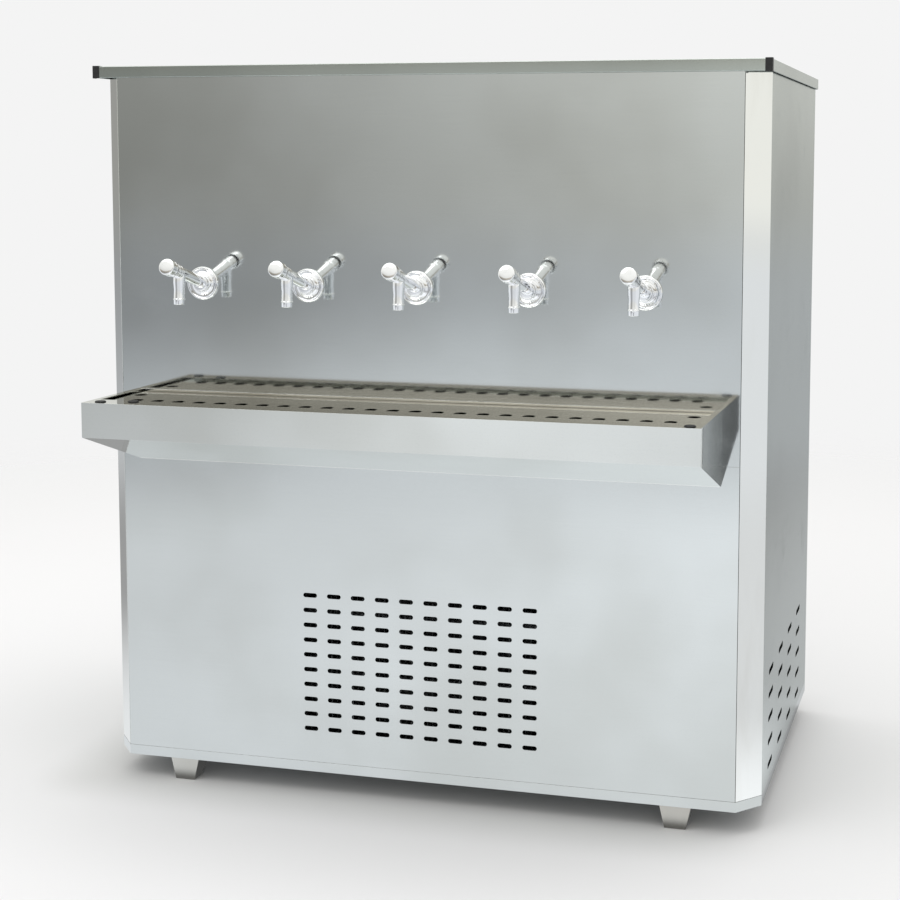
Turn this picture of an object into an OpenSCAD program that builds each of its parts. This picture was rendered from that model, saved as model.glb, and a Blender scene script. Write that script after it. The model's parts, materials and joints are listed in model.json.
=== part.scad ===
// Free-standing refrigerated drinking-water cooler: a stainless-steel cabinet with five
// self-closing push taps over a full-width drip tray. Front faces -Y, up is +Z, and the
// origin is at the middle of the footprint, on the floor.

/* [Cabinet] */
// Width across the side panels
body_w = 1200; // [1000:10:1600]
// Depth from the front panel to the back panel
body_d = 720; // [640:10:1000]
// Height of the lid's top above the floor
overall_h = 1300; // [1240:10:1700]
// Thickness of the cabinet sheet
sheet = 1.2; // [0.8:0.1:2]
// Width of each bevelled front corner, seen from the front
corner_w = 38; // [20:1:60]
// Depth of each bevelled front corner
corner_d = 46; // [20:1:60]
// Running gap between neighbouring sheets
seam = 0.4; // [0.3:0.1:1]

/* [Base and feet] */
// Height of the base strip under the panels
base_h = 18; // [14:1:40]
// Thickness of the base sheet
base_sheet = 2; // [1.5:0.5:3]
// Height of the folded feet
foot_h = 42; // [30:1:80]
// Width of a foot at the top
foot_top_w = 56; // [30:1:80]
// Width of a foot at the floor
foot_low_w = 37; // [20:1:60]
// Depth of a foot at the top
foot_top_d = 65; // [40:1:90]
// Depth of a foot at the floor
foot_low_d = 24; // [16:1:40]
// Thickness of the foot sheet
foot_sheet = 2.5; // [2:0.5:4]
// Distance from the cabinet's side to a foot
foot_side = 115; // [60:5:200]
// Distance from the front or back panel to a foot
foot_front = 10; // [5:5:80]

/* [Lid] */
// Height of the lid's skirt
lid_h = 20; // [14:1:40]
// How far the lid stands out past the panels
lid_over = 5; // [3:0.5:12]
// Length of a corner cap along each edge
cap_l = 11; // [8:1:20]
// Thickness of a corner cap
cap_t = 1.2; // [0.8:0.1:2]

/* [Taps] */
// Spacing of the five taps along the panel
tap_pitch = 200; // [160:5:260]
// Height of the tap flanges above the floor
tap_z = 917; // [860:1:980]
// Tilt of a tap's barrel above level
tap_tilt = 14.7; // [8:0.1:20]
// Radius of the wall flange
flange_r = 29.5; // [24:0.5:36]
// Radius of the barrel
barrel_r = 10.5; // [9.5:0.5:13]
// Radius of the barrel's head
head_r = 12; // [11:0.1:15]
// Distance along the barrel from the panel to the head's front face
head_s = 115; // [105:1:130]
// Radius of the push cap
button_r = 14.2; // [12.4:0.1:15]
// Length of the push cap
button_l = 20; // [18:1:28]
// Travel of the push cap
button_travel = 5; // [3:0.5:5.5]
// Outer radius of the spout
spout_r = 9.2; // [8:0.1:11]
// Distance from the panel to the spout
spout_y = 94; // [84:1:100]
// Depth of the spout's mouth below the flange's middle
spout_drop = 31; // [24:1:60]
// Lean of the spout towards the user
spout_lean = 3; // [0:0.5:8]
// Radius of the threaded shank through the panel
shank_r = 9.5; // [8:0.1:11]

/* [Drip tray] */
// Length of the tray
tray_w = 1060; // [900:10:1110]
// How far the tray stands out from the panel
tray_d = 205; // [170:5:260]
// Height of the tray's rim above the floor
tray_z = 725; // [690:5:780]
// Height of the tray's front face
tray_face = 60; // [50:1:90]
// Fall of the tray's floor from the front to the wall
tray_fall = 68; // [30:1:90]
// Thickness of the tray sheet
tray_sheet = 1.5; // [1:0.1:2.5]
// Width of the front rim
rim_front = 46; // [30:1:60]
// Width of the end rims
rim_end = 10; // [8:1:30]
// Width of the rear rim
rim_back = 9; // [6:1:20]
// Depth of the drain plate below the rim
grille_sink = 4; // [3:1:26]
// Width of the ledges under the drain plate
ledge = 9; // [6:1:14]
// Play around the drain plate
grille_play = 1.5; // [1:0.1:3]
// Slot length in the drain plate, from front to back
drain_slot_l = 32; // [24:1:60]
// Slot width in the drain plate
drain_slot_w = 20; // [8:1:24]
// Spacing of the slots along the plate
drain_pitch = 39; // [30:1:60]
// Radius of the black rim plugs
plug_r = 9.5; // [6:0.5:12]
// Lift shown when the drain plate is taken out
grille_lift = 90; // [40:5:110]

/* [Vents] */
// Columns of vent slots in the front panel
vent_cols = 10; // [6:1:14]
// Rows of vent slots in the front panel
vent_rows = 10; // [6:1:11]
// Length of a front vent slot
vent_l = 26; // [16:1:30]
// Height of a front vent slot
vent_h = 8; // [5:0.5:10]
// Column spacing of the front vents
vent_px = 45; // [40:1:60]
// Row spacing of the front vents
vent_pz = 27; // [20:1:27]
// Height of the lowest front row above the floor
vent_z = 121.5; // [100:0.5:140]
// Length of a side louvre slot
louvre_l = 60; // [30:1:80]
// Height of a side louvre slot
louvre_h = 10; // [6:0.5:12]
// Columns of louvre slots in a side panel
louvre_cols = 4; // [2:1:4]
// Rows of louvre slots in a side panel
louvre_rows = 5; // [3:1:8]
// Column spacing of the side louvres
louvre_py = 138; // [100:1:160]
// Row spacing of the side louvres
louvre_pz = 42; // [24:1:42]
// Height of the lowest side row above the floor
louvre_z = 84; // [80:1:110]
// Distance from the back panel to the rearmost louvres
louvre_back = 156; // [60:1:200]
// Columns of vent slots in the back panel
back_cols = 5; // [3:1:6]
// Rows of vent slots in the back panel
back_rows = 8; // [4:1:10]
// Column spacing of the back vents
back_px = 90; // [40:1:100]
// Row spacing of the back vents
back_pz = 34; // [20:1:40]

/* [Water side] */
// Height of the deck that carries the tank
deck_z = 675; // [650:5:690]
// Thickness of the tank insulation
foam = 38; // [25:1:45]
// Thickness of the tank wall
tank_wall = 1.5; // [1:0.1:2.5]
// Gap between the front panel and the insulation
tank_front = 62; // [58:1:90]
// Gap between the side panels and the insulation
tank_side = 46; // [40:1:90]
// Gap between the insulation and the back panel
tank_back = 46; // [40:1:90]
// Gap between the tank cover and the lid
tank_head = 60; // [40:1:120]
// Outer radius of the supply manifold
manifold_r = 12; // [10.5:0.5:14]
// Distance from the panel to the manifold
manifold_y = 34; // [30:1:40]
// Outer radius of the drain pipe
drain_r = 14; // [12:1:16]
// Outer radius of the water inlet's thread
inlet_r = 10.4; // [8:0.1:14]
// How far the rear fittings stand out
rear_reach = 24; // [16:1:40]
// Wall of the water pipes
pipe_wall = 2; // [1:0.5:3]

/* [Cooling side] */
// Width of the condenser
cond_w = 460; // [400:10:520]
// Height of the condenser
cond_h = 300; // [240:10:360]
// Depth of the condenser
cond_d = 44; // [30:2:60]
// Radius of the fan blades
fan_r = 122; // [90:1:140]
// Radius of the compressor shell
comp_r = 84; // [70:1:100]
// Height of the compressor shell
comp_h = 190; // [160:1:230]
// Outer radius of the refrigerant tubes
tube_r = 4.75; // [3:0.25:8]

/* [Hidden] */

$fn = 48;
eps = 0.01;            // overlap used only to cut clean through
gap = 0.3;             // space left between separate pieces
taps = [0 : 4];
ends = [-1, 1];

// Levels and the place of the front panel: the footprint is centred on the origin
front_y = (tray_d - body_d - rear_reach) / 2;
base_z = foot_h;
panel_z = base_z + base_h + seam;
panel_top = overall_h - sheet - gap;
lid_z = overall_h - lid_h;
seam_z = tray_z - tray_face - tray_fall / 2;   // the two front sheets meet behind the tray
half_w = body_w / 2;
inner_x = half_w - sheet - seam;               // inside face of a side panel
inner_y = body_d - sheet - seam;               // inside face of the back panel
floor_z = base_z + base_sheet;                 // top of the base sheet

stainless = [0.74, 0.77, 0.76];
bright = [0.88, 0.89, 0.88];
chrome = [0.93, 0.94, 0.95];
black = [0.06, 0.06, 0.07];
copper = [0.72, 0.42, 0.25];
foam_c = [0.93, 0.88, 0.70];
dark = [0.18, 0.19, 0.2];
galv = [0.6, 0.62, 0.64];

// Everything is drawn from the front panel's outer face and then set in place
module placed() { translate([0, front_y, 0]) children(); }

// ---- Plan outline of the cabinet, moved inwards by i ----
bevel = norm([corner_w, corner_d]);
function bevel_c(i) = corner_d * (half_w - corner_w) / bevel - i;
function bevel_x(i) = (bevel_c(i) * bevel + corner_w * i) / corner_d;
function bevel_y(i) = (corner_d * (half_w - i) - bevel_c(i) * bevel) / corner_w;
function plan(i) = [
    [-bevel_x(i), i], [bevel_x(i), i], [half_w - i, bevel_y(i)],
    [half_w - i, body_d - i], [-half_w + i, body_d - i], [-half_w + i, bevel_y(i)]
];

// ---- Shapes that repeat ----
module slot2(l, w) {
    square([l - w, w], center = true);
    for (s = ends) translate([s * (l - w) / 2, 0]) circle(d = w);
}

// Round-ended slots in a sheet that stands on an XZ plane, cut along Y
module slot_grid(cols, rows, px, pz, l, w, depth) {
    for (i = [0 : cols - 1], j = [0 : rows - 1])
        translate([(i - (cols - 1) / 2) * px, 0, j * pz])
            rotate([90, 0, 0]) linear_extrude(depth, center = true) slot2(l, w);
}

// A box from its lowest corner to its highest
module block(lo, hi) { translate(lo) cube(hi - lo); }

// A cylinder whose axis runs along Y from y0 to y1
module rod_y(r, x, z, y0, y1) {
    translate([x, y0, z]) rotate([-90, 0, 0]) cylinder(r = r, h = y1 - y0);
}
module rod_x(r, y, z, x0, x1) {
    translate([x0, y, z]) rotate([0, 90, 0]) cylinder(r = r, h = x1 - x0);
}

// Frame matrix with columns u, v, w and origin o
function seat(u, v, w, o) = [
    [u.x, v.x, w.x, o.x], [u.y, v.y, w.y, o.y], [u.z, v.z, w.z, o.z], [0, 0, 0, 1]
];
function unit(v) = v / norm(v);
function side_of(a) = unit(abs(a.z) > 0.9 ? cross(a, [1, 0, 0]) : cross(a, [0, 0, 1]));

// A round tube along a list of points, with true bends of radius b at each corner. A wall
// above 0 leaves the tube open inside.
module tube_run(p, r, b, wall = 0) {
    n = len(p);
    function turn(i) = i == 0 || i == n - 1 ? 0
        : let (c = unit(p[i] - p[i - 1]) * unit(p[i + 1] - p[i]))
            b * tan(acos(max(-1, min(1, c))) / 2);
    module section() difference() {
        circle(r = r);
        if (wall > 0) circle(r = r - wall);
    }
    for (i = [0 : n - 2]) {
        a = unit(p[i + 1] - p[i]);
        h = norm(p[i + 1] - p[i]) - turn(i) - turn(i + 1);
        u = side_of(a);
        multmatrix(seat(u, cross(a, u), a, p[i] + a * turn(i))) linear_extrude(h) section();
    }
    if (n > 2) for (i = [1 : n - 2]) {
        a = unit(p[i] - p[i - 1]);
        c = unit(p[i + 1] - p[i]);
        ang = acos(max(-1, min(1, a * c)));
        if (ang > 1) {
            mid = p[i] + unit(c - a) * b / cos(ang / 2);
            u = unit(p[i] - a * turn(i) - mid);
            multmatrix(seat(u, a, cross(u, a), mid))
                rotate_extrude(angle = ang) translate([b, 0]) section();
        }
    }
}

// ---- Base and feet ----
module base_frame() color(stainless) placed() {
    difference() {
        translate([0, 0, base_z]) linear_extrude(base_h) polygon(plan(0));
        translate([0, 0, floor_z]) linear_extrude(base_h) polygon(plan(base_sheet));
        // cooling-air openings in the floor
        for (s = ends, j = [0 : 3])
            translate([s * body_w * 0.27, body_d / 2 - 60 + 40 * j, base_z - 1])
                linear_extrude(base_sheet + 2) slot2(120, 12);
    }
}

module foot(x, y, turn) color(stainless) placed() translate([x, y, 0]) rotate(turn) {
    low = foot_low_w / 2;
    top = foot_top_w / 2;
    h = base_z - gap;
    // front plate
    translate([0, foot_sheet, 0]) rotate([90, 0, 0]) linear_extrude(foot_sheet)
        polygon([[-low, 0], [low, 0], [top, h], [-top, h]]);
    // floor lip and top pad
    block([-low, foot_sheet, 0], [low, foot_low_d, foot_sheet]);
    block([-top, foot_sheet, h - foot_sheet], [top, foot_top_d, h]);
    // the two side gussets lean with the front plate's edges
    for (s = ends) intersection() {
        translate([0, foot_top_d, 0]) rotate([90, 0, 0]) linear_extrude(foot_top_d)
            polygon([[s * (low - foot_sheet), 0], [s * low, 0],
                     [s * top, h], [s * (top - foot_sheet), h]]);
        translate([-top - 1, 0, 0]) rotate([90, 0, 90]) linear_extrude(foot_top_w + 2)
            polygon([[0, 0], [foot_low_d, 0], [foot_top_d, h], [0, h]]);
    }
}
foot_x = half_w - foot_side - foot_top_w / 2;
module foot_front_left() foot(-foot_x, foot_front, 0);
module foot_front_right() foot(foot_x, foot_front, 0);
module foot_rear_left() foot(-foot_x, body_d - foot_front, 180);
module foot_rear_right() foot(foot_x, body_d - foot_front, 180);

// ---- Cabinet skins ----
panel_x = bevel_x(sheet) - seam;     // half width of the front sheets
hem = 14;                            // width of the folded hems
drain_x = 300;                       // the drain leaves the tray here
drain_z = tray_z - tray_face - tray_fall + 40;

module front_sheet(z0, z1) {
    block([-panel_x, 0, z0], [panel_x, sheet, z1]);
    for (z = [z0, z1 - sheet]) block([-panel_x + 20, sheet, z], [panel_x - 20, hem, z + sheet]);
}

// The drain pipe crosses the joint between the two front sheets
module drain_hole() { rod_y(drain_r + gap, drain_x, drain_z, -1, hem + 1); }

module front_panel_upper() color(stainless) placed() difference() {
    front_sheet(seam_z + seam, panel_top);
    for (i = taps) rod_y(shank_r + gap, (i - 2) * tap_pitch, tap_z, -1, sheet + 1);
    drain_hole();
}

module front_panel_lower() color(stainless) placed() difference() {
    front_sheet(panel_z, seam_z);
    translate([0, 0, vent_z])
        slot_grid(vent_cols, vent_rows, vent_px, vent_pz, vent_l, vent_h, 6 * sheet);
    drain_hole();
}

// Bevelled corner strip with a hem behind each neighbouring sheet
module corner_trim(s) color(bright) placed() mirror([s < 0 ? 1 : 0, 0, 0]) {
    a = sheet + gap;
    b = 2 * sheet + gap;
    translate([0, 0, panel_z]) linear_extrude(panel_top - panel_z) polygon([
        [bevel_x(0), 0], [half_w, bevel_y(0)], [half_w - a, bevel_y(a)],
        [half_w - a, bevel_y(a) + hem], [half_w - b, bevel_y(a) + hem],
        [half_w - b, bevel_y(b)], [bevel_x(b), b], [bevel_x(b) - 16, b],
        [bevel_x(b) - 16, a], [bevel_x(a), a]
    ]);
}
module corner_trim_left() corner_trim(-1);
module corner_trim_right() corner_trim(1);

module side_panel(s) color(stainless) placed() {
    y0 = bevel_y(sheet) + seam;
    louvre_y = body_d - louvre_back;   // rearmost column
    difference() {
        union() {
            block([s > 0 ? half_w - sheet : -half_w, y0, panel_z],
                  [s > 0 ? half_w : -half_w + sheet, body_d, panel_top]);
            // top and bottom hems
            for (z = [panel_z, panel_top - sheet])
                block([s > 0 ? half_w - hem : -half_w + sheet, y0 + 30, z],
                      [s > 0 ? half_w - sheet : -half_w + hem, body_d - 30, z + sheet]);
        }
        for (i = [0 : louvre_cols - 1])
            translate([s * (half_w - sheet / 2), louvre_y - i * louvre_py, louvre_z])
                rotate(90) slot_grid(1, louvre_rows, 1, louvre_pz, louvre_l, louvre_h, 4 * sheet);
    }
}
module side_panel_left() side_panel(-1);
module side_panel_right() side_panel(1);

gland_x = half_w - 120;
gland_z = 130;
gland_r = 9;
box_x = half_w - 190;                // electrical box on the back panel
box_z = 330;
box_w = 150;
box_h = 110;
box_d = 60;
knob_x = box_x - 32;
rocker_x = box_x + 36;
knob_shaft_r = 3;
rocker_w = 22;
rocker_h = 30;
inlet_x = -half_w + 190;
inlet_z = overall_h - lid_h - tank_head - 60;
drain_out_z = drain_z - 60;
spigot_r = drain_r + 2;              // the hose fits over this end of the drain pipe

module back_panel() color(stainless) placed() difference() {
    union() {
        block([-inner_x, body_d - sheet, panel_z], [inner_x, body_d, panel_top]);
        for (z = [panel_z, panel_top - sheet])
            block([-back_hem_x, body_d - hem, z], [back_hem_x, body_d - sheet, z + sheet]);
    }
    translate([-half_w * 0.25, body_d, vent_z])
        slot_grid(back_cols, back_rows, back_px, back_pz, louvre_l, louvre_h, 4 * sheet);
    rod_y(gland_r + gap, gland_x, gland_z, body_d - 2 * sheet, body_d + 1);
    rod_y(inlet_r + gap, inlet_x, inlet_z, body_d - 2 * sheet, body_d + 1);
    rod_y(spigot_r + gap, drain_x, drain_out_z, body_d - 2 * sheet, body_d + 1);
    rod_y(knob_shaft_r + 1, knob_x, box_z, body_d - 2 * sheet, body_d + 1);
    block([rocker_x - rocker_w / 2 - 2, body_d - 2 * sheet, box_z - rocker_h / 2 - 2],
          [rocker_x + rocker_w / 2 + 2, body_d + 1, box_z + rocker_h / 2 + 2]);
}

module top_lid() color(stainless) placed() {
    o = lid_over;
    difference() {
        block([-half_w - o, -o, lid_z], [half_w + o, body_d + o, overall_h]);
        block([-half_w - o + sheet, -o + sheet, lid_z - 1],
              [half_w + o - sheet, body_d + o - sheet, overall_h - sheet]);
    }
}

// Black angle caps that close the lid's two front corners
module lid_corner_caps() color(black) placed() for (s = ends) {
    x = half_w + lid_over;
    g = 0.05;
    mirror([s < 0 ? 1 : 0, 0, 0]) difference() {
        block([x - cap_l, -lid_over - cap_t, lid_z - 1], [x + cap_t, -lid_over + cap_l, overall_h + cap_t]);
        block([x - cap_l - 1, -lid_over - g, lid_z - 2], [x + g, -lid_over + cap_l + 1, overall_h + g]);
    }
}

// ---- Inner frame ----
post = 28;                           // leg of the angle posts
post_t = 2;
rail = 24;
post_x = half_w - corner_w - 24;     // outer face of a post
post_y0 = corner_d * 0.25 + 4;
post_y1 = inner_y - 4;
post_top = panel_top - 16;
back_hem_x = post_x - post - 4;      // the back panel's hems stop short of the posts

module angle_post(x, y, sx, sy) {
    translate([x, y, floor_z + gap]) mirror([sx, 0, 0]) mirror([0, sy, 0])
        linear_extrude(post_top - floor_z - gap)
            polygon([[0, 0], [-post, 0], [-post, post_t], [-post_t, post_t], [-post_t, post], [0, post]]);
}

module frame_posts() color(galv) placed() {
    for (sx = [0, 1], sy = [0, 1])
        angle_post(sx == 0 ? post_x : -post_x, sy == 0 ? post_y0 : post_y1, sx, sy);
    // side rails under the deck and under the lid join each pair of posts
    for (s = ends, z = [deck_z - rail, post_top - rail])
        block([s > 0 ? post_x - rail - post_t : -post_x + post_t, post_y0 + post_t, z],
              [s > 0 ? post_x - post_t : -post_x + rail + post_t, post_y1 - post_t, z + rail]);
}

// Folded deck that carries the tank
module tank_deck() color(galv) placed() difference() {
    x = post_x - post_t - gap;
    y0 = post_y0 + post_t + gap;
    y1 = post_y1 - post_t - gap;
    union() {
        block([-x, y0, deck_z + gap], [x, y1, deck_z + gap + 2]);
        for (y = [y0, y1 - 2])
            block([-x + rail + 4, y, deck_z - 24], [x - rail - 4, y + 2, deck_z + gap + eps]);
    }
    for (p = coil_ports) translate([p.x, p.y, deck_z - 30]) cylinder(r = tube_r + 3, h = 40);
    rod_y(drain_r + 1, drain_x, drain_z, y0 - 1, y0 + 3);
}

// ---- Drip tray ----
tray_front = -tray_d;
tray_low = tray_z - tray_face;       // bottom of the front face
tray_wall_z = tray_low - tray_fall;  // bottom of the tray at the panel
grille_z = tray_z - grille_sink;     // top of the drain plate
ledge_z = grille_z - sheet - gap;    // top of the ledges
tray_half = tray_w / 2;

module tray_outline() polygon([
    [tray_front, tray_low], [tray_front, tray_z], [-gap, tray_z], [-gap, tray_wall_z]
]);

module tray_section() {
    t = tray_sheet;
    lip = tray_front + rim_front;    // the front rim turns down here
    back = -gap;
    translate([tray_front, tray_low]) square([t, tray_face]);
    translate([tray_front, tray_z - t]) square([rim_front, t]);
    translate([lip - t, ledge_z - t]) square([t, tray_z - ledge_z + t]);
    translate([lip - t, ledge_z - t]) square([ledge + t, t]);
    translate([back - t, tray_wall_z]) square([t, tray_z - tray_wall_z]);
    translate([back - rim_back, tray_z - t]) square([rim_back, t]);
    translate([back - rim_back, ledge_z - t]) square([t, tray_z - ledge_z + t]);
    translate([back - rim_back - ledge, ledge_z - t]) square([ledge + t, t]);
    // sloping floor
    polygon([[tray_front, tray_low], [back, tray_wall_z],
             [back, tray_wall_z + t * 1.2], [tray_front, tray_low + t * 1.2]]);
}

plugs = [
    [-tray_half + 27, 17], [-tray_half + 80, 33], [tray_half - 20, 17]
];           // x, and distance behind the tray's front face

module drip_tray() color(bright) placed() difference() {
    union() {
        translate([-tray_half + tray_sheet, 0, 0]) rotate([90, 0, 90])
            linear_extrude(tray_w - 2 * tray_sheet) tray_section();
        for (s = ends) {
            translate([s > 0 ? tray_half - tray_sheet : -tray_half, 0, 0]) rotate([90, 0, 90])
                linear_extrude(tray_sheet) tray_outline();
            // end rim between the front and rear rims
            block([s > 0 ? tray_half - rim_end : -tray_half + tray_sheet, tray_front + rim_front, tray_z - tray_sheet],
                  [s > 0 ? tray_half - tray_sheet : -tray_half + rim_end, -gap - rim_back, tray_z]);
        }
    }
    for (p = plugs) translate([p.x, tray_front + p.y, tray_z - 10]) cylinder(r = plug_r - 1.5, h = 20);
    rod_y(drain_r + gap, drain_x, drain_z, -rim_back - 1, 1);
}

grille_half = tray_half - rim_end - grille_play;
grille_y0 = tray_front + rim_front + grille_play;
grille_y1 = -gap - rim_back - grille_play;
grille_cols = floor((2 * grille_half - 60) / drain_pitch);
grille_hem_y = grille_y0 + ledge + 2; // front hem; the slots start right behind it
drain_slot_y = grille_hem_y + 2 * sheet + drain_slot_l / 2;

module drain_plate() color(stainless) placed() {
    difference() {
        block([-grille_half, grille_y0, grille_z - sheet], [grille_half, grille_y1, grille_z]);
        for (i = [0 : grille_cols - 1])
            translate([(i - (grille_cols - 1) / 2) * drain_pitch, drain_slot_y, grille_z - sheet - 1])
                rotate(90) linear_extrude(sheet + 2) slot2(drain_slot_l, drain_slot_w);
        // finger holes
        for (s = ends) translate([s * (grille_half - 24), grille_y1 - 50, grille_z - sheet - 1])
            cylinder(r = 11, h = sheet + 2);
    }
    // stiffening hems under the plate, clear of the ledges
    for (y = [grille_hem_y, grille_y1 - ledge - 4 - sheet])
        block([-grille_half + 10, y, grille_z - 9], [grille_half - 10, y + sheet, grille_z - sheet + eps]);
}

module tray_plugs() color(black) placed() for (p = plugs)
    translate([p.x, tray_front + p.y, tray_z]) {
        translate([0, 0, 0.05]) rotate_extrude()
            polygon([[0, 0], [plug_r, 0], [plug_r, 0.8], [plug_r - 1.4, 2], [0, 2]]);
        translate([0, 0, -4]) cylinder(r = plug_r - 1.8, h = 4.06);
    }

// From the tray's rear wall down and out at the back, where it ends in a wider hose spigot
module drain_pipe() color(galv) placed() {
    y_end = body_d + rear_reach;
    tube_run([
        [drain_x, -gap - rim_back, drain_z], [drain_x, 90, drain_z],
        [drain_x, 90, drain_out_z], [drain_x, y_end, drain_out_z]
    ], drain_r, 26, pipe_wall);
    difference() {
        rod_y(spigot_r, drain_x, drain_out_z, body_d + 1, y_end);
        rod_y(drain_r - pipe_wall / 2, drain_x, drain_out_z, body_d, y_end + 1);
    }
}

// ---- Tank ----
jacket_x = half_w - sheet - tank_side;
jacket_y0 = tank_front;
jacket_y1 = body_d - sheet - tank_back;
jacket_z0 = deck_z + gap + 2 + gap;
tank_top = lid_z - tank_head;
tank_x = jacket_x - foam - gap;
tank_y0 = jacket_y0 + foam + gap;
tank_y1 = jacket_y1 - foam - gap;
tank_z0 = jacket_z0 + foam + gap;
stub_x = tap_pitch / 2;              // the tank feeds the manifold between two taps
stub_r = manifold_r - 1.5;
coil_ports = [[tank_x - 60, tank_y0 + 70], [tank_x - 60, tank_y0 + 70 + 6 * 46]];
coil_z = tank_z0 + 26;

module water_tank() color(bright) placed() difference() {
    union() {
        difference() {
            block([-tank_x, tank_y0, tank_z0], [tank_x, tank_y1, tank_top]);
            block([-tank_x + tank_wall, tank_y0 + tank_wall, tank_z0 + tank_wall],
                  [tank_x - tank_wall, tank_y1 - tank_wall, tank_top + 1]);
        }
        // rim folded inwards
        difference() {
            block([-tank_x, tank_y0, tank_top - tank_wall], [tank_x, tank_y1, tank_top]);
            block([-tank_x + 14, tank_y0 + 14, tank_top - 5], [tank_x - 14, tank_y1 - 14, tank_top + 1]);
        }
    }
    rod_y(stub_r + gap, stub_x, tap_z, tank_y0 - 1, tank_y0 + tank_wall + 1);
    rod_y(inlet_r + gap, inlet_x, inlet_z, tank_y1 - tank_wall - 1, tank_y1 + 1);
    for (p = coil_ports) translate([p.x, p.y, tank_z0 - 1]) cylinder(r = tube_r + gap, h = tank_wall + 2);
}

module tank_cover() color(bright) placed() {
    z = tank_top + gap;
    difference() {
        block([-tank_x - 4, tank_y0 - 4, z - 14], [tank_x + 4, tank_y1 + 4, z + 1.5]);
        block([-tank_x - 2.5, tank_y0 - 2.5, z - 15], [tank_x + 2.5, tank_y1 + 2.5, z]);
    }
    for (s = ends) translate([s * tank_x / 2, (tank_y0 + tank_y1) / 2, z + 1.5 - eps])
        cylinder(r1 = 12, r2 = 14, h = 18);
}

module insulation_jacket() color(foam_c) placed() difference() {
    block([-jacket_x, jacket_y0, jacket_z0], [jacket_x, jacket_y1, tank_top - 20]);
    block([-jacket_x + foam, jacket_y0 + foam, jacket_z0 + foam],
          [jacket_x - foam, jacket_y1 - foam, tank_top]);
    rod_y(stub_r + gap, stub_x, tap_z, jacket_y0 - 1, jacket_y0 + foam + 1);
    rod_y(inlet_r + 4, inlet_x, inlet_z, jacket_y1 - foam - 1, jacket_y1 + 1);
    for (p = coil_ports) translate([p.x, p.y, jacket_z0 - 1]) cylinder(r = tube_r + 2, h = foam + 2);
}

// Serpentine inside the tank: six long runs joined by bends
module evaporator_coil() color(copper) placed() {
    runs = 6;
    pitch = 46;
    far = -tank_x + 90;
    near = tank_x - 60;
    y0 = coil_ports[0].y;
    pts = concat(
        [[near, y0, deck_z - 40]],
        [for (i = [0 : runs]) for (k = [0, 1])
            i < runs ? [(i + k) % 2 == 0 ? near : far, y0 + i * pitch, coil_z] : [near, y0 + runs * pitch, coil_z]],
        [[near, y0 + runs * pitch, deck_z - 40]]
    );
    clean = [for (i = [0 : len(pts) - 1]) if (i == 0 || norm(pts[i] - pts[i - 1]) > 1) pts[i]];
    tube_run(clean, tube_r, 18);
}

module supply_manifold() color(bright) placed() {
    reach = 2 * tap_pitch + 30;
    bore = manifold_r - pipe_wall;
    difference() {
        union() {
            rod_x(manifold_r, manifold_y, tap_z, -reach, reach);
            for (s = ends)
                rod_x(manifold_r + 2, manifold_y, tap_z, s > 0 ? reach - 4 : -reach - 4, s > 0 ? reach + 4 : -reach + 4);
            // sockets for the taps' shanks, and the stub from the tank
            for (i = taps) rod_y(manifold_r + 1, (i - 2) * tap_pitch, tap_z, manifold_y - 19, manifold_y);
            rod_y(stub_r, stub_x, tap_z, manifold_y, tank_y0 + 16);
        }
        rod_x(bore, manifold_y, tap_z, -reach, reach);
        for (i = taps) rod_y(shank_r + 0.05, (i - 2) * tap_pitch, tap_z, manifold_y - 20, manifold_y - 8);
        for (i = taps) rod_y(shank_r - 3, (i - 2) * tap_pitch, tap_z, manifold_y - 20, manifold_y);
        rod_y(stub_r - pipe_wall, stub_x, tap_z, manifold_y, tank_y0 + 20);
    }
}

// ---- Float valve ----
pivot_y = tank_y1 - 46;
pivot_z = inlet_z - 16;
pin_r = 2.5;
float_r = 48;
float_l = 190;

module inlet_fitting() color(bright) placed() difference() {
    union() {
        rod_y(inlet_r, inlet_x, inlet_z, tank_y1 + 2, body_d + rear_reach);
        translate([inlet_x, body_d + gap, inlet_z]) rotate([-90, 0, 0]) cylinder(r = inlet_r + 7, h = 7, $fn = 6);
        translate([inlet_x, body_d - sheet - gap - 6, inlet_z]) rotate([-90, 0, 0])
            cylinder(r = inlet_r + 7, h = 6, $fn = 6);
    }
    rod_y(inlet_r - pipe_wall, inlet_x, inlet_z, tank_y1, body_d + rear_reach + 1);
}

module float_valve() color(bright) placed() difference() {
    union() {
        rod_y(inlet_r, inlet_x, inlet_z, pivot_y - 14, tank_y1 + 2 - gap);
        rod_y(inlet_r + 6, inlet_x, inlet_z, tank_y1 - tank_wall - gap - 7, tank_y1 - tank_wall - gap);
        // two ears carry the arm's pin
        for (s = ends) block([inlet_x + s * 8 - 2.5, pivot_y - 10, pivot_z - 8],
                             [inlet_x + s * 8 + 2.5, pivot_y + 10, inlet_z]);
        rod_y(inlet_r, inlet_x, inlet_z, pivot_y - 20, pivot_y - 10);
    }
    rod_y(inlet_r - 3, inlet_x, inlet_z, pivot_y - 6, tank_y1 + 3);
    rod_x(pin_r + 0.06, pivot_y, pivot_z, inlet_x - 20, inlet_x + 20);
    block([inlet_x - 5.5, pivot_y - 26, pivot_z - 12], [inlet_x + 5.5, pivot_y + 11, inlet_z - 8]);
}

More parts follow.
